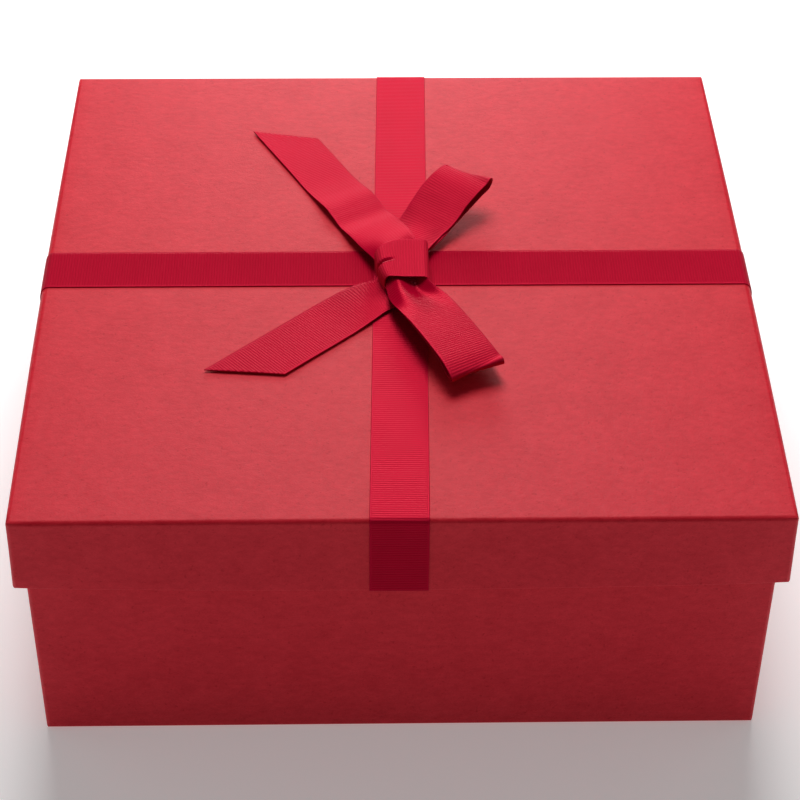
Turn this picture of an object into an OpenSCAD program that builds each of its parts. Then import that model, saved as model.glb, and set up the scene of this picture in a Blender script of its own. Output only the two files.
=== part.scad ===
// Square gift box: a paper-covered tray, a lid that lifts straight off it, two flat
// ribbon bands glued round the lid, and a tied bow on their crossing.
// X runs left to right, Y front to back, Z up. The origin is under the middle of the tray.

/* [Box] */
// Width of the lid over its cover paper, left to right
lid_width = 310; // [220:1:420]
// Depth of the lid over its cover paper, front to back
lid_depth = 310; // [220:1:420]
// Height of the tray, from the table to its rim
base_height = 125.5; // [80:0.5:240]
// Height of the lid's skirt, from the lid's top to its rim
skirt_height = 36; // [30:1:70]
// Play between the lid and the tray, on each side
lid_play = 1.35; // [0.8:0.05:3]

/* [Board and paper] */
// Thickness of the greyboard
board_t = 2; // [1.2:0.1:3]
// Thickness of the red cover paper
paper_t = 0.25; // [0.15:0.05:0.4]
// Thickness of the lining paper
liner_t = 0.2; // [0.1:0.05:0.4]
// Thickness of the gummed corner tape
stay_t = 0.15; // [0.1:0.05:0.3]
// Length of each leg of the corner tape, from the corner along the wall
stay_leg = 22; // [12:1:40]
// Outside radius of the board where it folds and at its corners
board_r = 1.6; // [0.8:0.1:2.4]
// Outside radius of the cover paper where it rolls over a rim
rim_r = 0.6; // [0.4:0.05:0.9]
// Width of the slit between two walls of a board where they meet at a corner
slit_w = 0.3; // [0.1:0.05:0.8]
// Depth of cover paper turned in over a rim
turn_in = 18; // [12:1:24]
// Width of cover paper turned under the tray's floor
turn_under = 16; // [10:1:30]
// Distance from the tray's side to the edge of the sheet under its floor
sheet_inset = 3; // [1.5:0.5:8]
// Distance from the tray's rim down to the edge of its lining
base_liner_drop = 12; // [6:1:18]
// Distance from the lid's rim up to the edge of its lining
lid_liner_rise = 15.5; // [15:0.5:24]

/* [Ribbon] */
// Width of the ribbon
ribbon_w = 25; // [15:1:38]
// Thickness of the ribbon
ribbon_t = 0.45; // [0.3:0.05:0.8]
// Length of ribbon glued up inside the lid's skirt
ribbon_end = 14; // [8:1:14.5]
// Place of the crosswise band's middle, back from the middle of the lid
cross_y = 2; // [-20:1:20]
// Place of the lengthwise band's middle at the front, right of the middle of the lid
long_front_x = -1.5; // [-15:0.5:15]
// Place of the lengthwise band's middle at the back, right of the middle of the lid
long_back_x = 4.5; // [-15:0.5:15]
// Length over which the lengthwise band climbs onto the crosswise one
ramp = 6; // [3:0.5:12]

/* [Bow] */
// Height of the knot above the lid's top
knot_h = 12.5; // [12:0.1:16]
// Outside radius of the ribbon where it rolls over the sides of the knot
knot_r = 5; // [2:0.5:6]
// Share of the ribbon's width that the bow loses to gathering inside the knot
knot_gather = 0.2; // [0.15:0.05:0.3]
// Play between the knot and the gathered bow inside it, on each side
knot_play = 1.3; // [1:0.1:2]
// Place of the knot's middle, right of the bands' crossing
knot_x = 0.5; // [-1:0.5:1]
// Reach of the knot in front of the bands' crossing, at its left end
knot_front = 20; // [18:0.5:24]
// Reach of its right end beyond that
knot_skew = 1.5; // [0:0.5:3]
// Reach of the knot behind the bands' crossing, at its right end
knot_back = 5.5; // [4:0.5:9]
// Width that the knot loses at its pinched left end, from the front
pinch_front = 10; // [8:0.5:11]
// Width that the knot loses at its pinched left end, from the back
pinch_back = 9; // [4:0.5:10]

/* [Hidden] */
// Corners of the box: name, side in X, side in Y
CORNERS = [["front_left", -1, -1], ["front_right", 1, -1], ["rear_left", -1, 1], ["rear_right", 1, 1]];

// Cutters reach this far past what they cut
cut = 1;

// One covered wall: cover paper, corner tape, board and the paper turned in
wall = paper_t + stay_t + board_t + paper_t;
// Outside radius of the cover paper over a fold of the board
fold_r = board_r + stay_t + paper_t;
// From the cover paper's outside to the board's
skin = paper_t + stay_t;

// Plan sizes, outside and inside, of each layer of the tray
base_size = [lid_width, lid_depth] - 2 * (wall + lid_play) * [1, 1];
base_board_size = base_size - 2 * skin * [1, 1];
base_inner = base_size - 2 * wall * [1, 1];
// The same of the lid
lid_size = [lid_width, lid_depth];
lid_board_size = lid_size - 2 * skin * [1, 1];
lid_inner = lid_size - 2 * wall * [1, 1];

// Heights of the tray's layers
base_board_z = 2 * paper_t;
base_board_h = base_height - paper_t - base_board_z;
base_floor_z = base_board_z + board_t;
// Heights of the lid's layers: its lining rests on the tray's rim
lid_ceiling_z = base_height + liner_t;
lid_top = lid_ceiling_z + board_t + paper_t;
lid_rim = lid_top - skirt_height;
lid_board_h = skirt_height - 2 * paper_t;

// Window left by the paper turned under the floor
window = base_size - 2 * turn_under * [1, 1];

cover_red = "firebrick";
ribbon_red = "crimson";
lining_white = "ivory";
board_grey = "tan";

$fn = 48;

// ---- Shapes shared by the tray and the lid ----

// Rectangle centred on the origin
module panel(size) { square(size, center = true); }

// Rectangle centred on the origin with rounded corners
module rounded_panel(size, r) {
    panel(size - [2 * r, 0]);
    panel(size - [0, 2 * r]);
    for (x = [-1, 1], y = [-1, 1])
        translate([x * (size[0] / 2 - r), y * (size[1] / 2 - r)]) circle(r);
}

// Side view of a folded tray: radius fold at the floor and radius edge at the rim
module side_view(w, h, fold, edge) {
    translate([-w / 2, fold]) square([w, h - fold - edge]);
    translate([-w / 2 + fold, 0]) square([w - 2 * fold, fold + edge]);
    translate([-w / 2 + edge, h - fold - edge]) square([w - 2 * edge, fold + edge]);
    for (s = [-1, 1]) {
        translate([s * (w / 2 - fold), fold]) circle(fold);
        translate([s * (w / 2 - edge), h - edge]) circle(edge);
    }
}

// Solid with the outside form of a tray of this plan size and height, floor down at z = 0
module tray_block(size, h, fold, edge) {
    intersection() {
        linear_extrude(h) rounded_panel(size, fold);
        rotate([90, 0, 0]) linear_extrude(size[1] + 2 * cut, center = true)
            side_view(size[0], h, fold, edge);
        rotate([90, 0, 90]) linear_extrude(size[0] + 2 * cut, center = true)
            side_view(size[1], h, fold, edge);
    }
}

// Greyboard blank with its four walls folded up: the walls meet at slits and are square inside
module folded_board(size, h) {
    inner = size - 2 * board_t * [1, 1];
    difference() {
        intersection() {
            linear_extrude(h) rounded_panel(size, board_r);
            rotate([90, 0, 0]) linear_extrude(size[1] + 2 * cut, center = true) fold_view(size[0], h);
            rotate([90, 0, 90]) linear_extrude(size[0] + 2 * cut, center = true) fold_view(size[1], h);
        }
        translate([0, 0, board_t]) linear_extrude(h) panel(inner);
        for (x = [-1, 1], y = [-1, 1])
            translate([x * (inner[0] + board_t) / 2, y * (inner[1] - slit_w) / 2, board_t + h / 2])
                cube([board_t + 2 * cut, slit_w, h], center = true);
    }
}

// Side view of a folded board: rounded where the walls fold up, cut square at the rim
module fold_view(w, h) {
    translate([-w / 2, board_r]) square([w, h - board_r]);
    translate([-w / 2 + board_r, 0]) square([w - 2 * board_r, 2 * board_r]);
    for (s = [-1, 1]) translate([s * (w / 2 - board_r), board_r]) circle(board_r);
}

// Strip of gummed tape round the outside of one corner of a board, from z = 0 up
module corner_tape(size, h, x, y) {
    linear_extrude(h) intersection() {
        difference() {
            rounded_panel(size + 2 * stay_t * [1, 1], board_r + stay_t);
            rounded_panel(size, board_r);
        }
        translate([x * (size[0] / 2 + stay_t - stay_leg / 2), y * (size[1] / 2 + stay_t - stay_leg / 2)])
            panel([stay_leg, stay_leg]);
    }
}

// Cover paper over the outside of a folded board and turned in over its rim, floor down at
// z = 0, for a cover of this plan size and height
module covering(size, h) {
    inside = size - 2 * wall * [1, 1];
    difference() {
        tray_block(size, h, fold_r, rim_r);
        translate([0, 0, paper_t]) tray_space(size - 2 * paper_t * [1, 1], h - 2 * paper_t);
        translate([0, 0, paper_t + fold_r]) linear_extrude(h) panel(inside);
    }
    translate([0, 0, h - turn_in]) linear_extrude(turn_in - paper_t) difference() {
        panel(inside + 2 * paper_t * [1, 1]);
        panel(inside);
    }
}

// Space that a taped board takes up inside its cover paper
module tray_space(size, h) {
    r = board_r + stay_t;
    intersection() {
        linear_extrude(h) rounded_panel(size, r);
        rotate([90, 0, 0]) linear_extrude(size[1] + 2 * cut, center = true) taped_view(size[0], h, r);
        rotate([90, 0, 90]) linear_extrude(size[0] + 2 * cut, center = true) taped_view(size[1], h, r);
    }
}

module taped_view(w, h, r) {
    translate([-w / 2, r]) square([w, h - r]);
    translate([-w / 2 + r, 0]) square([w - 2 * r, 2 * r]);
    for (s = [-1, 1]) translate([s * (w / 2 - r), r]) circle(r);
}

// Turns a piece made floor down into the lid's place, top panel up
module as_lid(top) { translate([0, 0, top]) mirror([0, 0, 1]) children(); }

// ---- Tray ----

module base_board() color(board_grey)
    translate([0, 0, base_board_z]) folded_board(base_board_size, base_board_h);

module base_corner_stay(x, y) color(board_grey)
    translate([0, 0, base_board_z + board_r])
        corner_tape(base_board_size, base_board_h - board_r, x, y);

module base_wrap() color(cover_red) difference() {
    translate([0, 0, paper_t]) covering(base_size, base_height - paper_t);
    linear_extrude(base_board_z + cut) panel(window);
}

// Pasted flat over the turned-under edges
module base_bottom_sheet() color(cover_red)
    linear_extrude(paper_t) panel(base_size - 2 * sheet_inset * [1, 1]);

module base_liner() color(lining_white) translate([0, 0, base_floor_z]) difference() {
    h = base_height - base_liner_drop - base_floor_z;
    linear_extrude(h) panel(base_inner);
    translate([0, 0, liner_t]) linear_extrude(h) panel(base_inner - 2 * liner_t * [1, 1]);
}

// ---- Lid ----

module lid_board() color(board_grey)
    as_lid(lid_top - paper_t) folded_board(lid_board_size, lid_board_h);

module lid_corner_stay(x, y) color(board_grey)
    as_lid(lid_top - paper_t - board_r)
        corner_tape(lid_board_size, lid_board_h - board_r, x, y);

module lid_wrap() color(cover_red) as_lid(lid_top) covering(lid_size, skirt_height);

module lid_liner() color(lining_white) as_lid(lid_ceiling_z) difference() {
    h = lid_ceiling_z - lid_rim - lid_liner_rise;
    linear_extrude(h) panel(lid_inner);
    translate([0, 0, liner_t]) linear_extrude(h) panel(lid_inner - 2 * liner_t * [1, 1]);
}

// ---- Ribbon bands ----

// Side view of a band glued round a lid of this width: over the top, down both skirts, round
// the rims and up inside
module band_view(w) {
    inner_w = w - 2 * wall;
    translate([0, lid_top]) mirror([0, 1]) {
        difference() {
            translate([0, -ribbon_t])
                side_view(w + 2 * ribbon_t, skirt_height + 2 * ribbon_t, fold_r + ribbon_t, rim_r + ribbon_t);
            side_view(w, skirt_height, fold_r, rim_r);
            translate([0, skirt_height]) panel([inner_w - 2 * ribbon_t, 4 * ribbon_t]);
        }
        for (s = [-1, 1])
            translate([s * (inner_w - ribbon_t) / 2, skirt_height - ribbon_end / 2])
                panel([ribbon_t, ribbon_end + ribbon_t]);
    }
}

module crosswise_ribbon() color(ribbon_red)
    translate([0, cross_y, 0]) rotate([90, 0, 0])
        linear_extrude(ribbon_w, center = true) band_view(lid_width);

// The lengthwise band's middle, in X, at a place in Y
function long_x(y) = long_front_x + (long_back_x - long_front_x) * (y / lid_depth + 0.5);
crossing = [long_x(cross_y), cross_y];
// It climbs over the crosswise band, from this far outside its edges
climb_lead = 2;
climb_y = ribbon_w / 2 + climb_lead;

module lengthwise_ribbon() color(ribbon_red) intersection() {
    rotate([90, 0, 90]) linear_extrude(2 * ribbon_w + abs(long_back_x) + abs(long_front_x), center = true) {
        difference() {
            band_view(lid_depth);
            translate([cross_y, lid_top + ribbon_t / 2]) panel([2 * (climb_y + ramp), 3 * ribbon_t]);
        }
        translate([cross_y, lid_top]) polygon([
            [-climb_y - ramp, 0], [-climb_y, ribbon_t], [climb_y, ribbon_t], [climb_y + ramp, 0],
            [climb_y + ramp, ribbon_t], [climb_y, 2 * ribbon_t],
            [-climb_y, 2 * ribbon_t], [-climb_y - ramp, ribbon_t]]);
    }
    end_y = lid_depth / 2 + cut;
    translate([0, 0, lid_rim - cut]) linear_extrude(skirt_height + 4 * cut) polygon([
        [long_x(-end_y) - ribbon_w / 2, -end_y], [long_x(-end_y) + ribbon_w / 2, -end_y],
        [long_x(end_y) + ribbon_w / 2, end_y], [long_x(end_y) - ribbon_w / 2, end_y]]);
}

// ---- Bow ----
// One length of ribbon lies folded in an S of two loops and two tails, gathered inside the
// knot, a short ribbon tied round it. A strip of it is a list of stations, each [x, y, z,
// heading, roll, gather, slant]: the middle of the ribbon from the crossing and the lid's top,
// the way the ribbon faces in plan, its tilt, right side up, the width lost to gathering, and
// how far its left edge runs ahead of its right one.

// Width of ribbon and height of knot that the stations are laid out for: they grow with the
// ribbon in plan and with the knot in height
drawn_w = 25;
drawn_h = 12.5;
plan_scale = ribbon_w / drawn_w;
rise_scale = knot_h / drawn_h;

// Stations that two strips share where they meet inside the knot, top, middle and bottom layer
TOP = [0, -7, 9, 118, 8, knot_gather * drawn_w, 0];
MIDDLE = [0, -7, 6.2, 86, 0, knot_gather * drawn_w, 0];
BOTTOM = [0, -6, 3.4, 52, 0, knot_gather * drawn_w, 0];
// The same station with the ribbon facing the other way
function about(s) = [s[0], s[1], s[2], s[3] + 180, -s[4], s[5], -s[6]];

REAR_TAIL = [TOP, [-2.5, 3, 9, 119, 11, 5.5, 0], [-7.5, 16, 6, 123, 6, 1.5, 0], [-12, 25, 4.8, 122, 3, 1, 0],
    [-16, 33, 4.1, 121, 2, 1, 0], [-21, 43, 1.9, 120, 0, 1, 0], [-27, 54, 1, 120, 0, 1, 0],
    [-40, 78, 1, 120, 0, 1, 0], [-53, 101.5, 1, 120, 0, 1, 20]];
FRONT_TAIL = [about(BOTTOM), [-4.2, -18, 2.8, 230, 0, 8, 0], [-16, -25, 1.8, 223, 0, 2, 0],
    [-28.5, -35.5, 1, 222, 0, 0, 0], [-44.5, -50, 1, 222, 0, 0, 0], [-66.5, -70, 1, 222, 0, 0, -23]];
REAR_LOOP = [MIDDLE, [2.5, 6.5, 5.2, 66, 0, 7, 0], [9, 22, 5, 58, 0, 3, 0], [15.5, 31, 8.2, 57, -2, 1, 0],
    [21, 38.5, 12, 59, -2, 1, 0], [26.5, 44.5, 14.6, 60, -1, 1, 0], [31, 50, 15.2, 61, 0, 1, 0],
    [33, 53.5, 13.4, 61, 0, 1, 0], [30, 50, 10.6, 61, 0, 1, 0], [22, 37, 7.6, 61, 0, 1, 0],
    [11, 20, 4.4, 60, 0, 2, 0], [2.5, 7.5, 3, 58, 0, 8, 0], BOTTOM];
FRONT_LOOP = [about(TOP), [1.5, -16.5, 8.4, 292, -6, 10, 0], [4.2, -27, 9, 290, -3, 7, 0],
    [9.5, -36, 9.9, 293, 1, 2, 0], [14.5, -45, 10.3, 296, 3, 1.5, 0], [20.3, -56, 10.1, 297, 3, 1.5, 0],
    [26, -66.5, 9, 295, 2, 1.5, 0], [29.3, -73, 7.6, 292, 1, 1, 0], [30.6, -75.3, 6, 291, 0, 1, 0],
    [28.5, -71.5, 4.4, 293, 0, 1, 0], [23.5, -60, 4, 296, 0, 1, 0], [17, -47, 4.2, 296, 0, 1, 0],
    [8, -32, 4.8, 290, 0, 6, 0], [1.5, -19, 5.6, 280, 0, 10, 0], about(MIDDLE)];

// Steps that each span between two stations is drawn in
span_steps = 4;

// Smooth curve through a list of stations, whole values of t falling on them
function spline(p, t) = let (
    n = len(p) - 1, i = min(floor(t), n - 1), f = t - i,
    a = p[max(i - 1, 0)], b = p[i], c = p[i + 1], d = p[min(i + 2, n)])
    0.5 * (2 * b + (c - a) * f + (2 * a - 5 * b + 4 * c - d) * f * f + (3 * b - a - 3 * c + d) * f * f * f);

function middle_of(s) =
    [crossing[0] + plan_scale * s[0], crossing[1] + plan_scale * s[1], lid_top + rise_scale * s[2]];
function ahead(s) = [cos(s[3]), sin(s[3]), 0];
function rightward(s) = [sin(s[3]) * cos(s[4]), -cos(s[3]) * cos(s[4]), sin(s[4])];
function unit(v) = v / norm(v);

// Four corners of the ribbon at a station: left and right on one face, right and left on the other
function corners(s, face) = let (
    side = rightward(s) * plan_scale * (drawn_w - s[5]) / 2, lead = ahead(s) * plan_scale * s[6] / 2,
    half = face * ribbon_t / 2,
    left = middle_of(s) - side + lead, right = middle_of(s) + side - lead)
    [left + half, right + half, right - half, left - half];

// Solid strip of ribbon through a list of stations
module ribbon_strip(stations) {
    n = (len(stations) - 1) * span_steps;
    at = [for (k = [0 : n]) spline(stations, k / span_steps)];
    // The ends are cut square to the way the ribbon faces, so that two strips meet flush
    points = [for (k = [0 : n]) each corners(at[k], unit(cross(rightward(at[k]),
        k == 0 || k == n ? ahead(at[k]) : middle_of(at[k + 1]) - middle_of(at[k - 1]))))];
    walls = [for (k = [0 : n - 1], j = [0 : 3]) let (a = 4 * k + j, b = 4 * k + (j + 1) % 4)
        each [[a, b + 4, b], [a, a + 4, b + 4]]];
    last = 4 * n;
    polyhedron(points, concat(walls, [[0, 1, 2], [0, 2, 3]],
        [[last, last + 2, last + 1], [last, last + 3, last + 2]]));
}

module bow_rear_tail() color(ribbon_red) ribbon_strip(REAR_TAIL);
module bow_front_tail() color(ribbon_red) ribbon_strip(FRONT_TAIL);
module bow_rear_loop() color(ribbon_red) ribbon_strip(REAR_LOOP);
module bow_front_loop() color(ribbon_red) ribbon_strip(FRONT_LOOP);

// Short ribbon tied round the gathered bow, glued on the bands' crossing, and pinched narrower
// at its left end
module bow_knot() color(ribbon_red) {
    crease_r = 0.1;
    inner_w = ribbon_w * (1 - knot_gather) + 2 * knot_play;
    outer_w = inner_w + 2 * ribbon_t;
    h = knot_h - 2 * ribbon_t;
    far = outer_w / 2 + cut;
    translate([crossing[0] + knot_x, crossing[1], lid_top + 2 * ribbon_t]) intersection() {
        rotate([90, 0, 0]) linear_extrude(2 * (knot_front + knot_skew + knot_back), center = true)
            difference() {
                side_view(outer_w, h, crease_r + ribbon_t, knot_r);
                translate([0, ribbon_t]) side_view(inner_w, h - 2 * ribbon_t, crease_r, knot_r - ribbon_t);
            }
        linear_extrude(h) polygon([[-far, pinch_front - knot_front], [knot_r - outer_w / 2, -knot_front],
            [far, -knot_front - knot_skew], [far, knot_back], [-far, knot_back - pinch_back]]);
    }
}

base_board();
for (c = CORNERS) base_corner_stay(c[1], c[2]);
base_wrap();
base_bottom_sheet();
base_liner();
lid_board();
for (c = CORNERS) lid_corner_stay(c[1], c[2]);
lid_wrap();
lid_liner();
crosswise_ribbon();
lengthwise_ribbon();
bow_knot();
bow_rear_loop();
bow_front_loop();
bow_rear_tail();
bow_front_tail();
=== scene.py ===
"""Gift box: a tray and a lift-off lid of greyboard covered in red paper, two grosgrain bands
glued round the lid, and a small tied bow on their crossing. Lengths are in metres."""

import math

import bmesh
import bpy
import numpy as np
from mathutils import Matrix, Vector


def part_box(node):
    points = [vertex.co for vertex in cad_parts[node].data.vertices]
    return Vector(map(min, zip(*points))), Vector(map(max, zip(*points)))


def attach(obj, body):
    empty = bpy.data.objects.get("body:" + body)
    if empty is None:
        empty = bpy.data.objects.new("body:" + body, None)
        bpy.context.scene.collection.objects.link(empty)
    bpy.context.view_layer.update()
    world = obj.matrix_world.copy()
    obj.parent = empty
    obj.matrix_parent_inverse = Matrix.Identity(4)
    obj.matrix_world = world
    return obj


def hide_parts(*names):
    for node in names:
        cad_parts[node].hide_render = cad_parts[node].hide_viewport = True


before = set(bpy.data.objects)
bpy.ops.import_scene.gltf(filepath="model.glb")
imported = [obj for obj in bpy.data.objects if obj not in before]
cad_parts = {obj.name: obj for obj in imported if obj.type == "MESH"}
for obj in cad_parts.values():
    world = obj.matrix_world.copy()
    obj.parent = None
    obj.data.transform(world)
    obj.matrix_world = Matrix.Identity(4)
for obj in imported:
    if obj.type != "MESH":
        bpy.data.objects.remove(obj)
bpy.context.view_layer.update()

# ---- Camera ----
# A short telephoto stands in front of the box, a little to its left, and aims down at the
# middle of the lid. The view is shifted down from there, to take in the front of the box.
scene = bpy.context.scene
camera = bpy.data.objects.new("camera", bpy.data.cameras.new("camera"))
camera.location = (-0.01734, -0.76156, 0.73986)
camera.rotation_euler = [math.radians(angle) for angle in (50.226, -0.462, -1.041)]
camera.data.lens = 99.15
camera.data.shift_y = -0.1125
scene.collection.objects.link(camera)
scene.camera = camera

# ---- Floor and lights ----
# The box stands on a wide pale floor, which glows a little and so lights the walls. The main
# soft light hangs behind and above the box, a small low one rakes the lid from the back, and
# a wide weak panel stands on either side.
floor_half = 6
box_middle = Vector((0, 0, 0.1))
white = (1, 1, 1, 1)
scene.view_settings.view_transform = "Standard"


def principled(name):
    """A new material, its node tree and its Principled shader."""
    material = bpy.data.materials.new(name)
    material.use_nodes = True
    return material, material.node_tree, material.node_tree.nodes["Principled BSDF"]


floor_bm = bmesh.new()
bmesh.ops.create_grid(floor_bm, x_segments=1, y_segments=1, size=floor_half)
floor_mesh = bpy.data.meshes.new("floor")
floor_bm.to_mesh(floor_mesh)
floor_bm.free()
floor = bpy.data.objects.new("floor", floor_mesh)
floor_paint, _, floor_shader = principled("floor paint")
floor_shader.inputs["Base Color"].default_value = (0.9, 0.9, 0.9, 1)
floor_shader.inputs["Roughness"].default_value = 0.9
floor_shader.inputs["Specular IOR Level"].default_value = 0.1
floor_shader.inputs["Emission Color"].default_value = white
floor_shader.inputs["Emission Strength"].default_value = 0.25
floor_mesh.materials.append(floor_paint)
scene.collection.objects.link(floor)

world = bpy.data.worlds.new("room")
world.use_nodes = True
room_light = world.node_tree.nodes["Background"].inputs
room_light["Color"].default_value = white
room_light["Strength"].default_value = 0.1
scene.world = world


def softbox(name, place, width, height, power):
    """A rectangular soft light at a place, turned to face the middle of the box."""
    light = bpy.data.lights.new(name, "AREA")
    light.shape = "RECTANGLE"
    light.size, light.size_y = width, height
    light.energy = power
    lamp = bpy.data.objects.new(name, light)
    lamp.location = place
    lamp.rotation_euler = (box_middle - Vector(place)).to_track_quat("-Z", "Y").to_euler()
    scene.collection.objects.link(lamp)


softbox("high softbox", place=(0, 0.8, 1.56), width=0.8, height=1.05, power=24)
softbox("low softbox", place=(0, 1.0, 0.46), width=0.5, height=0.3, power=4.2)
softbox("left panel", place=(-1.3, 0.2, 0.4), width=1.5, height=0.8, power=2)
softbox("right panel", place=(1.3, 0.2, 0.4), width=1.5, height=0.8, power=2)

# ---- Tray ----
# A scored sheet of 2 mm greyboard, folded up and taped at its corners, covered in red paper
# that is turned in over the rim and under the floor, lined with ivory paper, and closed below
# by a pasted sheet of the red.
mm = 0.001
corner_names = ["front_left", "front_right", "rear_left", "rear_right"]


def node(tree, kind, settings=None, **inputs):
    """A node of this kind. An input is given by its name, or by _ and its number, and gets a
    value or another node's output."""
    made = tree.nodes.new("ShaderNode" + kind)
    for name, value in (settings or {}).items():
        setattr(made, name, value)
    for name, value in inputs.items():
        socket = made.inputs[int(name[1:])] if name[0] == "_" else made.inputs[name]
        if isinstance(value, bpy.types.NodeSocket):
            tree.links.new(value, socket)
        else:
            socket.default_value = value
    return made


def maths(tree, operation, a, b):
    """The output of a Math node on two values or outputs."""
    return node(tree, "Math", {"operation": operation}, _0=a, _1=b).outputs[0]


def pulp_group():
    """Colour, roughness and relief of matted fibres, as in paper and board. The fibres lie
    mostly one way, along X. They clump, the sheet is cloudy, and dark flecks show in it."""
    tree = bpy.data.node_groups.new("pulp", "ShaderNodeTree")
    takes = {"Place": "Vector", "Pale": "Color", "Deep": "Color", "Roughness": "Float", "Mottle": "Float"}
    gives = {"Color": "Color", "Roughness": "Float", "Height": "Float"}
    for way, sockets in (("INPUT", takes), ("OUTPUT", gives)):
        for label, kind in sockets.items():
            tree.interface.new_socket(label, in_out=way, socket_type="NodeSocket" + kind)
    given = tree.nodes.new("NodeGroupInput").outputs
    out = tree.nodes.new("NodeGroupOutput").inputs

    def noise(place, scale, detail, roughness=0.5):
        made = node(tree, "TexNoise", Vector=place, Scale=scale, Detail=detail, Roughness=roughness)
        return made.outputs["Fac"]

    drawn_out = node(tree, "Mapping", Vector=given["Place"], Scale=(0.6, 1, 1)).outputs[0]
    fibre = noise(drawn_out, scale=2200.0, detail=2.0, roughness=0.7)
    clump = noise(drawn_out, scale=420.0, detail=3.0, roughness=0.6)
    cloud = noise(given["Place"], scale=75.0, detail=3.0)
    cloud = maths(tree, "ADD", maths(tree, "MULTIPLY", cloud, 0.6), 0.2)
    fleck = noise(given["Place"], scale=700.0, detail=1.0)
    fleck = node(tree, "MapRange", Value=fleck, _1=0.66, _2=0.78, _3=0.0, _4=0.5).outputs[0]
    grain = maths(tree, "ADD", maths(tree, "ADD", fibre, clump), maths(tree, "SUBTRACT", cloud, fleck))
    grain = maths(tree, "SUBTRACT", grain, 1.5)
    blend = node(tree, "Math", {"operation": "MULTIPLY_ADD", "use_clamp": True},
                 _0=grain, _1=given["Mottle"], _2=0.5).outputs[0]
    color = node(tree, "Mix", {"data_type": "RGBA"}, Factor=blend, _6=given["Deep"], _7=given["Pale"])
    tree.links.new(color.outputs[2], out["Color"])
    uneven = node(tree, "MapRange", Value=fibre, _1=0.3, _2=0.7, _3=-0.06, _4=0.06).outputs[0]
    tree.links.new(maths(tree, "ADD", given["Roughness"], uneven), out["Roughness"])
    tree.links.new(maths(tree, "ADD", fibre, maths(tree, "MULTIPLY", clump, 1.4)), out["Height"])
    return tree


pulp = pulp_group()


def pulp_material(name, pale, deep, mottle=0.5, tooth=0.45, gloss=0.1):
    """Paper or board, mottled between two close colours, with this much tooth and gloss."""
    material, tree, shader = principled(name)
    sheet = tree.nodes.new("ShaderNodeGroup")
    sheet.node_tree = pulp
    tree.links.new(node(tree, "TexCoord").outputs["Object"], sheet.inputs["Place"])
    sheet.inputs["Pale"].default_value = (*pale, 1)
    sheet.inputs["Deep"].default_value = (*deep, 1)
    sheet.inputs["Roughness"].default_value = 0.5
    sheet.inputs["Mottle"].default_value = mottle
    bump = node(tree, "Bump", Strength=tooth, Distance=0.2 * mm, Height=sheet.outputs["Height"])
    tree.links.new(sheet.outputs["Color"], shader.inputs["Base Color"])
    tree.links.new(sheet.outputs["Roughness"], shader.inputs["Roughness"])
    tree.links.new(bump.outputs[0], shader.inputs["Normal"])
    shader.inputs["Specular IOR Level"].default_value = gloss
    return material


cover_paper = pulp_material("red cover paper", pale=(0.76, 0.024, 0.044), deep=(0.51, 0.0, 0.012),
                            mottle=0.8, gloss=0.165)
lining_paper = pulp_material("lining paper", pale=(0.86, 0.83, 0.77), deep=(0.78, 0.75, 0.68))
greyboard = pulp_material("greyboard", pale=(0.5, 0.47, 0.41), deep=(0.3, 0.28, 0.25),
                          mottle=1.6, tooth=0.6)
kraft_tape = pulp_material("gummed kraft tape", pale=(0.66, 0.5, 0.34), deep=(0.55, 0.4, 0.26))

tray_finish = {
    "base_board": greyboard,
    **{f"base_corner_stay_{corner}": kraft_tape for corner in corner_names},
    "base_wrap": cover_paper,
    "base_bottom_sheet": cover_paper,
    "base_liner": lining_paper,
}
for name, material in tray_finish.items():
    for material_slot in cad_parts[name].material_slots:
        material_slot.material = material

# ---- Lid ----
# Made as the tray is, with skirts 36 mm deep. They have sprung outwards between the corners,
# board, tape, cover and lining together, and the left and right ones bulge just under the fold.
lid_low, lid_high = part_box("lid_wrap")
lid_half = Vector((lid_high.x, lid_high.y))
skirt = lid_high.z - lid_low.z
# How far a rim stands out at its corners, and how much further in the middle of its side
flare, spring = 0.5 * mm, 2.6 * mm
# The bulge under the fold, and the share of the skirt's depth at which it is full
pillow, pillow_depth = 1.5 * mm, 0.16
# How far inwards from a side the lid moves, and the part of that over which it eases in
sprung_reach, sprung_ease = 8 * mm, 4 * mm
tiny = 0.001 * mm


def sprung(p):
    """Where a point of the straight lid lies on the one whose skirts bow outwards."""
    depth = max(0.0, min((lid_high.z - p.z) / skirt, 1.05))
    moved = p.copy()
    for along, across in ((0, 1), (1, 0)):
        reach = abs(p[across]) - (lid_half[across] - sprung_reach)
        if reach > 0:
            bow = max(0.0, 1 - (p[along] / lid_half[along]) ** 2)
            out = (spring * bow ** 0.8 + flare) * depth ** 1.4
            if across == 0:
                out += pillow * bow * math.sin(math.pi / 2 * min(1.0, depth / pillow_depth))
            moved[across] += math.copysign(out * min(1.0, reach / sprung_ease), p[across])
    return moved


def cut_across(bm, axis, place):
    """Cuts edges into a mesh where the plane at this place on an axis meets it."""
    point, normal = Vector(), Vector()
    point[axis], normal[axis] = place, 1
    geometry = bm.verts[:] + bm.edges[:] + bm.faces[:]
    bmesh.ops.bisect_plane(bm, geom=geometry, dist=tiny, plane_co=point, plane_no=normal)


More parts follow.
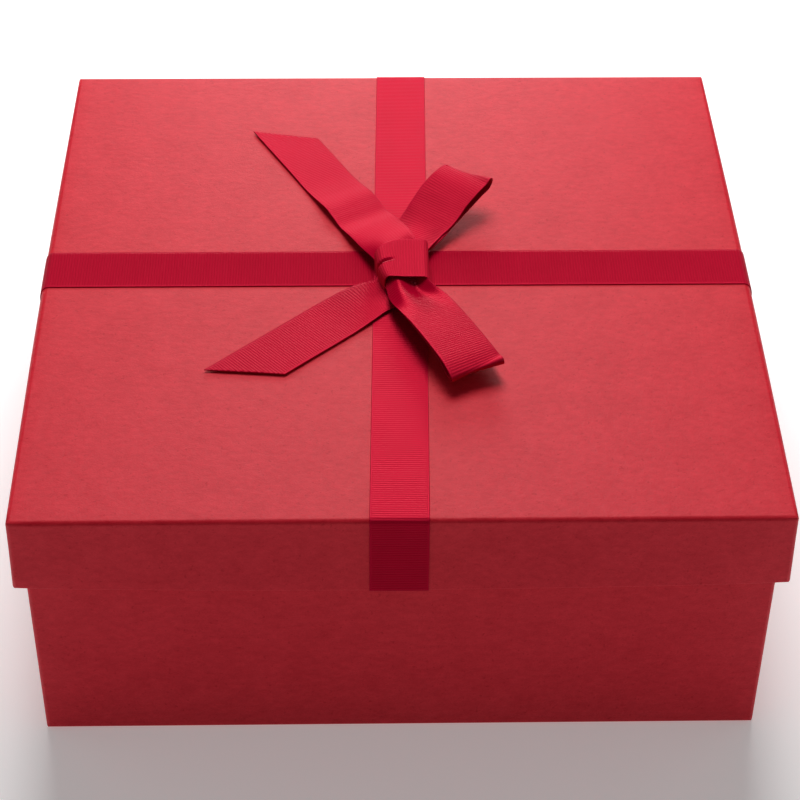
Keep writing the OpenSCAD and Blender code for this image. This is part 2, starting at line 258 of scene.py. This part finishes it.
def sprung_copy(node_name, material):
    """The lid's piece of that name, cut finely enough to bow outwards with the skirts."""
    bm = bmesh.new()
    bm.from_mesh(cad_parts[node_name].data)
    bmesh.ops.remove_doubles(bm, verts=bm.verts, dist=tiny)
    bmesh.ops.dissolve_limit(bm, angle_limit=math.radians(0.3), verts=bm.verts, edges=bm.edges)
    for axis, half in enumerate(lid_half):
        for place in np.linspace(-half, half, 41)[1:-1]:
            cut_across(bm, axis, place)
    for height in np.linspace(lid_low.z, lid_high.z, 8)[1:-1]:
        cut_across(bm, 2, height)
    for below_top in (1.6, 2.6, 4, 7):
        cut_across(bm, 2, lid_high.z - below_top * mm)
    for vert in bm.verts:
        vert.co = sprung(vert.co)
    mesh = bpy.data.meshes.new("sprung_" + node_name)
    bm.to_mesh(mesh)
    bm.free()
    mesh.shade_smooth()
    mesh.set_sharp_from_angle(angle=math.radians(35))
    mesh.materials.append(material)
    piece = bpy.data.objects.new("sprung_" + node_name, mesh)
    scene.collection.objects.link(piece)
    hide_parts(node_name)
    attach(piece, "lid")


sprung_copy("lid_board", greyboard)
for corner in corner_names:
    sprung_copy(f"lid_corner_stay_{corner}", kraft_tape)
sprung_copy("lid_wrap", cover_paper)
sprung_copy("lid_liner", lining_paper)

# ---- Bands ----
# Two lengths of 25 mm grosgrain glued round the lid, over the top, down two skirts, round
# their rims and 14 mm up inside. The lengthwise one is a little askew and lies over the
# crosswise one. The ribbon is woven flat here, cut to length and then laid along its way.
ribbon_w, ribbon_t = 25 * mm, 0.45 * mm
rib_pitch, rib_height = 1.2 * mm, 0.04 * mm
# The width of the ribless selvedge, the outer share of it that is scalloped, and how deeply
selvedge, scalloped, scallop = 1.3 * mm, 0.1, 0.1 * mm
yarn_pitch = 0.2 * mm
lift = ribbon_t / 2
band_end = 14 * mm


def grosgrain_material():
    """Dyed yarn. A stout weft makes round ribs, which spread the gloss along the ribbon, and shade
    is painted darker between them. Fine warp yarns run over them, and the edges are plain."""
    material, tree, shader = principled("red grosgrain")
    plain_edge, edge_fade = 0.6 * mm, 0.4 * mm
    wave_repeat = 0.314
    flat = node(tree, "UVMap", {"uv_map": "flat"}).outputs[0]
    across, along, _ = node(tree, "SeparateXYZ", Vector=flat).outputs
    turn = maths(tree, "MULTIPLY", along, math.pi / rib_pitch)
    rib = maths(tree, "ABSOLUTE", maths(tree, "COSINE", turn, 0.0), 0.0)
    inner = maths(tree, "SUBTRACT", ribbon_w / 2 - plain_edge, maths(tree, "ABSOLUTE", across, 0.0))
    in_field = node(tree, "MapRange", Value=inner, _1=0.0, _2=edge_fade).outputs[0]
    tone = node(tree, "TexNoise", Vector=flat, Scale=60.0, Detail=2.0).outputs["Fac"]
    # Painted shade: the colour darkens in the valleys between the ribs, inside the ribbed field
    painted_valley_shade = maths(tree, "MULTIPLY", maths(tree, "SUBTRACT", 1.0, rib), in_field)
    # The field's colour mixes a random tone with that painted shade
    tone_and_painted_shade = maths(tree, "SUBTRACT", maths(tree, "ADD", tone, 0.3), painted_valley_shade)
    field = node(tree, "Mix", {"data_type": "RGBA"}, Factor=tone_and_painted_shade,
                 _6=(0.43, 0.0005, 0.02, 1), _7=(0.5, 0.0006, 0.026, 1)).outputs[2]
    # The plain edges get a colour a little lighter than the field: partly their own yarn, partly a
    # painted highlight for their rounded edge
    edged = node(tree, "Mix", {"data_type": "RGBA"}, Factor=in_field,
                 _6=(0.48, 0.001, 0.026, 1), _7=field).outputs[2]
    tree.links.new(edged, shader.inputs["Base Color"])
    yarns = node(tree, "TexWave", {"bands_direction": "X"}, Vector=flat, Scale=wave_repeat / yarn_pitch)
    yarns = maths(tree, "MULTIPLY", yarns.outputs[1], 0.05)
    relief = maths(tree, "ADD", maths(tree, "MULTIPLY", rib, in_field), yarns)
    bump = node(tree, "Bump", Strength=1.0, Distance=0.06 * mm, Height=relief)
    tree.links.new(bump.outputs[0], shader.inputs["Normal"])
    across_way = node(tree, "Tangent", {"direction_type": "UV_MAP", "uv_map": "flat"}).outputs[0]
    tree.links.new(across_way, shader.inputs["Tangent"])
    shader.inputs["Metallic"].default_value = 0.25
    shader.inputs["Roughness"].default_value = 0.4
    shader.inputs["Anisotropic"].default_value = 1.0
    shader.inputs["Anisotropic Rotation"].default_value = 0.25
    shader.inputs["Specular IOR Level"].default_value = 0.055
    return material


grosgrain = grosgrain_material()


def woven_ribbon(length, columns=18):
    """A flat ribbon with its ribs, along Y from 0 to this length. Its edges are scalloped,
    the columns of its grid are closer there, and its UV map holds each point's flat place."""
    bm = bmesh.new()
    rows = 4 * round(length / rib_pitch)
    bmesh.ops.create_grid(bm, x_segments=columns, y_segments=rows, size=0.5)
    flat = bm.loops.layers.uv.new("flat")
    for vert in bm.verts:
        across = ribbon_w / 2 * math.sin(math.pi * vert.co.x)
        along = (vert.co.y + 0.5) * length
        wave = math.cos(2 * math.pi * along / rib_pitch)
        inner = (ribbon_w / 2 - abs(across)) / selvedge
        if inner < scalloped:
            across += math.copysign(scallop * wave, across)
        vert.co = (across, along, rib_height * wave * min(1.0, max(0.0, 2 * inner - 1)))
    for face in bm.faces:
        for loop in face.loops:
            loop[flat].uv = loop.vert.co.xy
    return bm


def rounded_path(corners, radii, step=0.25 * mm):
    """Straight lines through the corners, each corner rounded by an arc of short steps."""
    points = [Vector(corners[0])]
    for before, corner, after, radius in zip(corners, corners[1:], corners[2:], radii):
        before, corner, after = Vector(before), Vector(corner), Vector(after)
        inward, outward = (before - corner).normalized(), (after - corner).normalized()
        half = inward.angle(outward) / 2
        start = corner + inward * radius / math.tan(half)
        centre = corner + (inward + outward).normalized() * radius / math.sin(half)
        sweep = math.pi - 2 * half
        spoke = start - centre
        steps = max(2, round(radius * sweep / step))
        for k in range(steps + 1):
            angle = sweep * k / steps
            points.append(centre + spoke * math.cos(angle) - inward * radius * math.sin(angle))
    points.append(Vector(corners[-1]))
    return points


class Run:
    """The way that a ribbon's middle takes, with its right-hand side and its form at each
    place: the width lost to gathering, the height of its crown and the depth of a pleat."""

    def __init__(self, middle, right, form=(0, 0, 0)):
        self.middle = np.array(middle, float)
        gone = np.linalg.norm(np.diff(self.middle, axis=0), axis=1)
        self.gone = np.concatenate([[0], np.cumsum(gone)])
        self.length = self.gone[-1]
        self.right = np.broadcast_to(np.array(right, float), self.middle.shape)
        self.form = np.broadcast_to(np.array(form, float), self.middle.shape)

    def at(self, table, along):
        """The rows of one of these tables at these lengths along the way."""
        return np.stack([np.interp(along, self.gone, column) for column in table.T], axis=-1)

    def lay(self, bm):
        """Moves a flat ribbon's points to this way. What is past an end goes on straight."""
        near = 0.4 * mm
        across, along, rise = np.array([vert.co for vert in bm.verts]).T
        middle = self.at(self.middle, along)
        inner = np.clip(along, near, self.length - near)
        ahead = self.at(self.middle, inner + near) - self.at(self.middle, inner - near)
        ahead /= np.linalg.norm(ahead, axis=1)[:, None]
        right = self.at(self.right, along)
        right -= ahead * (right * ahead).sum(1)[:, None]
        right /= np.linalg.norm(right, axis=1)[:, None]
        normal = np.cross(right, ahead)
        gather, crown, pleat = self.at(self.form, along).T
        share = across / (ribbon_w / 2)
        rise = rise + crown * (1 - share ** 2) - pleat * np.sin(1.25 * math.pi * share)
        across = across * (1 - gather / ribbon_w)
        placed = middle + right * across[:, None] + normal * rise[:, None]
        past_end = np.maximum(along - self.length, 0) + np.minimum(along, 0)
        placed += ahead * past_end[:, None]
        for vert, place in zip(bm.verts, placed):
            vert.co = place


def ribbon_piece(name, bm):
    """The laid ribbon as a finished piece of the lid, with its thickness."""
    mesh = bpy.data.meshes.new(name)
    bm.to_mesh(mesh)
    bm.free()
    mesh.shade_smooth()
    mesh.materials.append(grosgrain)
    piece = bpy.data.objects.new(name, mesh)
    scene.collection.objects.link(piece)
    thickness = piece.modifiers.new("ribbon thickness", "SOLIDIFY")
    thickness.thickness = ribbon_t
    thickness.offset = 0
    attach(piece, "lid")
    return piece


wall = lid_half.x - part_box("lid_liner")[1].x


def band_corners(half, over_top=()):
    """Corners of a band's way in its own plane, from inside one skirt to inside the other."""
    inside, outside = half - wall - lift, half + lift
    low, high = lid_low.z - lift, lid_high.z + lift
    start = [(-inside, lid_low.z + band_end), (-inside, low), (-outside, low), (-outside, high)]
    return start + [(y, high + z) for y, z in over_top] + [(-y, z) for y, z in reversed(start)]


def band(name, node_name, middle, right, drawn_in):
    """A band along these points, drawn in by its tension and sprung with the skirts."""
    way = Run(middle, right, form=(drawn_in, 0, 0))
    bm = woven_ribbon(way.length)
    way.lay(bm)
    for vert in bm.verts:
        vert.co = sprung(vert.co)
    piece = ribbon_piece(name, bm)
    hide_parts(node_name)


rim_r, fold_r, climb_r = 0.7 * mm, 2.2 * mm, 12 * mm
end_radii = [rim_r, rim_r, fold_r]
cross_low, cross_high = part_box("crosswise_ribbon")
cross_y = (cross_low.y + cross_high.y) / 2
path = rounded_path([(x, 0, z) for x, z in band_corners(lid_half.x)], end_radii + end_radii[::-1])
band("crosswise_band", "crosswise_ribbon", [(x, cross_y, z) for x, _, z in path],
     right=(0, -1, 0), drawn_in=0.8 * mm)

# The lengthwise band climbs over the crosswise one by its thickness, up and down two ramps
long_low, long_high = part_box("lengthwise_ribbon")
front_x, back_x = long_low.x + ribbon_w / 2, long_high.x - ribbon_w / 2
askew = (back_x - front_x) / (2 * lid_half.y)
climb_y, ramp = ribbon_w / 2 + 2 * mm, 6 * mm
over = [(cross_y - climb_y - ramp, 0), (cross_y - climb_y, ribbon_t),
        (cross_y + climb_y, ribbon_t), (cross_y + climb_y + ramp, 0)]
corners = [(0, y, z) for y, z in band_corners(lid_half.y, over)]
path = rounded_path(corners, end_radii + [climb_r] * len(over) + end_radii[::-1])
middle_x = (front_x + back_x) / 2
band("lengthwise_band", "lengthwise_ribbon", [(middle_x + askew * y, y, z) for _, y, z in path],
     right=(1, 0, 0), drawn_in=1.5 * mm)

# ---- Bow ----
# One length of the same ribbon is folded in an S of two tails and two loops, which lie over
# each other inside the knot. Each strip runs from the knot out to its cut tip, or out and back.
crossing = Vector((middle_x + askew * cross_y, cross_y, lid_high.z))


def strip_run(stations, steps=24):
    """The way of a strip of the bow, on a smooth curve through its stations. A station is x,
    y, z from the bands' crossing and the lid's top, the way that the ribbon faces in plan,
    its tilt right side up, and its form, all in millimetres and degrees."""
    given = np.array(stations, float)
    padded_out = np.vstack([2 * given[0] - given[1], given, 2 * given[-1] - given[-2]])
    rows = []
    for a, b, c, d in zip(padded_out, padded_out[1:], padded_out[2:], padded_out[3:]):
        for t in np.arange(steps) / steps:
            rows.append(0.5 * (2 * b + (c - a) * t + (2 * a - 5 * b + 4 * c - d) * t ** 2
                               + (3 * b - a - 3 * c + d) * t ** 3))
    table = np.array(rows + [given[-1]])
    heading, tilt = np.radians(table[:, 3]), np.radians(table[:, 4])
    right = [np.sin(heading) * np.cos(tilt), -np.cos(heading) * np.cos(tilt), np.sin(tilt)]
    return Run(np.array(crossing) + table[:, :3] * mm, np.stack(right, axis=1), table[:, 5:8] * mm)


def bow_strip(name, node_name, stations, slant=0.0):
    """A strip of the bow. A tail is cut across at its end, its left edge this much longer."""
    way = strip_run(stations)
    reach = way.length + abs(slant) / 2
    bm = woven_ribbon(reach)
    if slant:
        geometry = bm.verts[:] + bm.edges[:] + bm.faces[:]
        bmesh.ops.bisect_plane(bm, geom=geometry, dist=tiny, plane_co=(0, way.length, 0),
                               plane_no=(slant, ribbon_w, 0), clear_outer=True)
    way.lay(bm)
    piece = ribbon_piece(name, bm)
    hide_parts(node_name)


bow_strip("rear_tail", "bow_rear_tail", [
    (0, -7, 9, 118, 8, 5, 0, 0), (-2.5, 3, 9, 119, 11, 4, 0.3, 0.3),
    (-7.5, 16, 6, 123, 6, 1.5, 0.5, 0), (-12, 25, 4.6, 122, 3, 1, 0.3, 0),
    (-16.2, 33.5, 2.4, 121, 1, 1, 0, 0), (-19.6, 40, 3.1, 120, 1, 1, 0, 0),
    (-23, 46.5, 3.6, 120, 1, 1, 0, 0), (-27.8, 55.5, 1.9, 120, 0, 1, 0, 0),
    (-32.5, 64, 1, 120, 0, 1, 0, 0), (-40, 78, 1, 120, 0, 1, 0, 0),
    (-53, 101.5, 1, 120, 0, 1, 0, 0),
], slant=20 * mm)
bow_strip("front_tail", "bow_front_tail", [
    (0, -6, 3.4, 232, 0, 5, 0, 0), (-4.2, -18, 2.8, 230, 0, 7, 0.4, 0.2),
    (-16, -25, 1.8, 223, 0, 2, 0.6, 0), (-28.5, -35.5, 1, 222, 0, 0, 0, 0),
    (-44.5, -50, 1, 222, 0, 0, 0, 0), (-66.5, -70, 1, 222, 0, 0, 0, 0),
], slant=-23 * mm)
bow_strip("rear_loop", "bow_rear_loop", [
    (0, -7, 6.2, 86, 0, 5, 0, 0), (2.5, 6.5, 5.2, 66, 0, 7, 0, 0.3), (9, 22, 5, 58, 0, 3, 0, 0.2),
    (15.5, 31, 8.2, 57, -2, 1, 0, 0), (21, 38.5, 12, 59, -2, 1, 0, 0),
    (26.5, 44.5, 14.8, 60, -1, 1, 0, 0), (31, 49.8, 15.4, 62, 0, 1, 0, 0),
    (32.2, 51.2, 13.8, 68, 0, 2, 0, 0), (29.4, 48.2, 11, 69, 0, 2.5, 0, 0),
    (20.5, 37.5, 7.4, 64, 0, 2, 0, 0), (9.5, 21, 4.4, 62, 0, 3.5, 0, 0),
    (2, 7.5, 3, 58, 0, 8, 0, 0), (0, -6, 3.4, 52, 0, 5, 0, 0),
])
bow_strip("front_loop", "bow_front_loop", [
    (0, -7, 9, 298, -8, 5, 0, 0), (1.5, -16.5, 8.4, 292, -6, 8, 0, -1.6),
    (4.2, -26.6, 8.7, 290, -3, 5, 0, -1.5), (9.5, -36.1, 10, 293, 1, 2, 0, -0.5),
    (14.5, -45.8, 11, 296, 2, 1.5, 0, 0), (20.3, -57.9, 11.7, 297, 2, 1.5, 0, 0),
    (26, -69.4, 11.4, 295, 1, 1.5, 0, 0), (29.3, -75.6, 9.8, 292, 1, 1, 0, 0),
    (30.6, -77.4, 7.8, 291, 0, 1, 0, 0), (29.2, -73.5, 5.8, 293, 0, 1, 0, 0),
    (25, -61, 5, 296, 0, 2, 0, 0), (18.6, -47.5, 5, 296, 0, 2, 0, 0),
    (9.2, -32.5, 5.2, 290, 0, 5, 0, 0), (1.7, -19, 5.6, 280, 0, 8, 0, 0),
    (0, -7, 6.2, 266, 0, 5, 0, 0),
])

# ---- Knot ----
# A short piece of the ribbon goes once round the bow's middle and is joined underneath. It is
# drawn in at its left shoulder, where two pleats part at a crease, and its top tips forward.
knot_low, knot_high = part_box("bow_knot")
knot_x, knot_y = (knot_low.x + knot_high.x) / 2, -7.9 * mm
knot_half = (knot_high.x - knot_low.x) / 2 - lift
knot_floor, knot_top = knot_low.z + lift, knot_high.z - lift
join = 0.5 * mm
foot_r, right_r, left_r = 0.4 * mm, 2.5 * mm, 3.5 * mm
path = rounded_path([
    (join, 0, knot_floor), (knot_half, 0, knot_floor), (knot_half, 0, knot_top),
    (-knot_half, 0, knot_top), (-knot_half, 0, knot_floor), (0, 0, knot_floor),
], [foot_r, right_r, left_r, foot_r])
knot_way = Run([(x + knot_x, crossing.y + knot_y, z) for x, _, z in path], right=(0, 1, 0))

# The values below are in millimetres from the bands' crossing. Across, the knot goes from -1
# in front to 1 at the back. Its left shoulder: the plain ring's x, and across and x drawn in
plain_shoulder, shoulder_reach = -11.4, 11
left_shoulder = np.array([
    (-1, -7.4), (-0.6, -8.9), (-0.15, -10.2), (0.02, -8.6), (0.2, -10.4), (1, -11.6),
])
# Its edges: the distance leftwards, and y of the front and the back edge there
knot_edges = np.array([
    (-12.5, -19.6, 3.8), (-3.4, -19.4, 4.4), (2.9, -19.1, 3), (7, -18.9, 0.8), (11.5, -18.8, -2.5),
])
# Its crease: place and width across, depth, height of its foot, start leftwards and run-in
crease_at, crease_wide, crease_deep, crease_foot, crease_start, crease_run = 0.02, 0.07, 1.1, 6, 2, 6
tip_forward = 0.08


def pinched(p):
    """Where a point of the plain ring lies once the knot's left shoulder is drawn in."""
    x, y, z = (p - crossing) / mm
    v = (y - knot_y / mm) / (ribbon_w / mm / 2)
    front, back = (np.interp(-x, knot_edges[:, 0], knot_edges[:, k]) for k in (1, 2))
    shoulder = np.interp(v, left_shoulder[:, 0], left_shoulder[:, 1])
    leftness = min(1.0, max(0.0, -x / shoulder_reach))
    crease = math.exp(-((v - crease_at) / crease_wide) ** 2)
    crease *= min(1.0, max(0.0, (-x - crease_start) / crease_run))
    x += (shoulder - plain_shoulder) * leftness
    if z > crease_foot:
        z -= crease_deep * crease
    z += tip_forward * v * z
    return crossing + Vector((x, front + (back - front) * (v + 1) / 2, z)) * mm


knot_bm = woven_ribbon(knot_way.length, columns=60)
knot_way.lay(knot_bm)
for vert in knot_bm.verts:
    vert.co = pinched(vert.co)
knot = ribbon_piece("knot", knot_bm)
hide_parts("bow_knot")
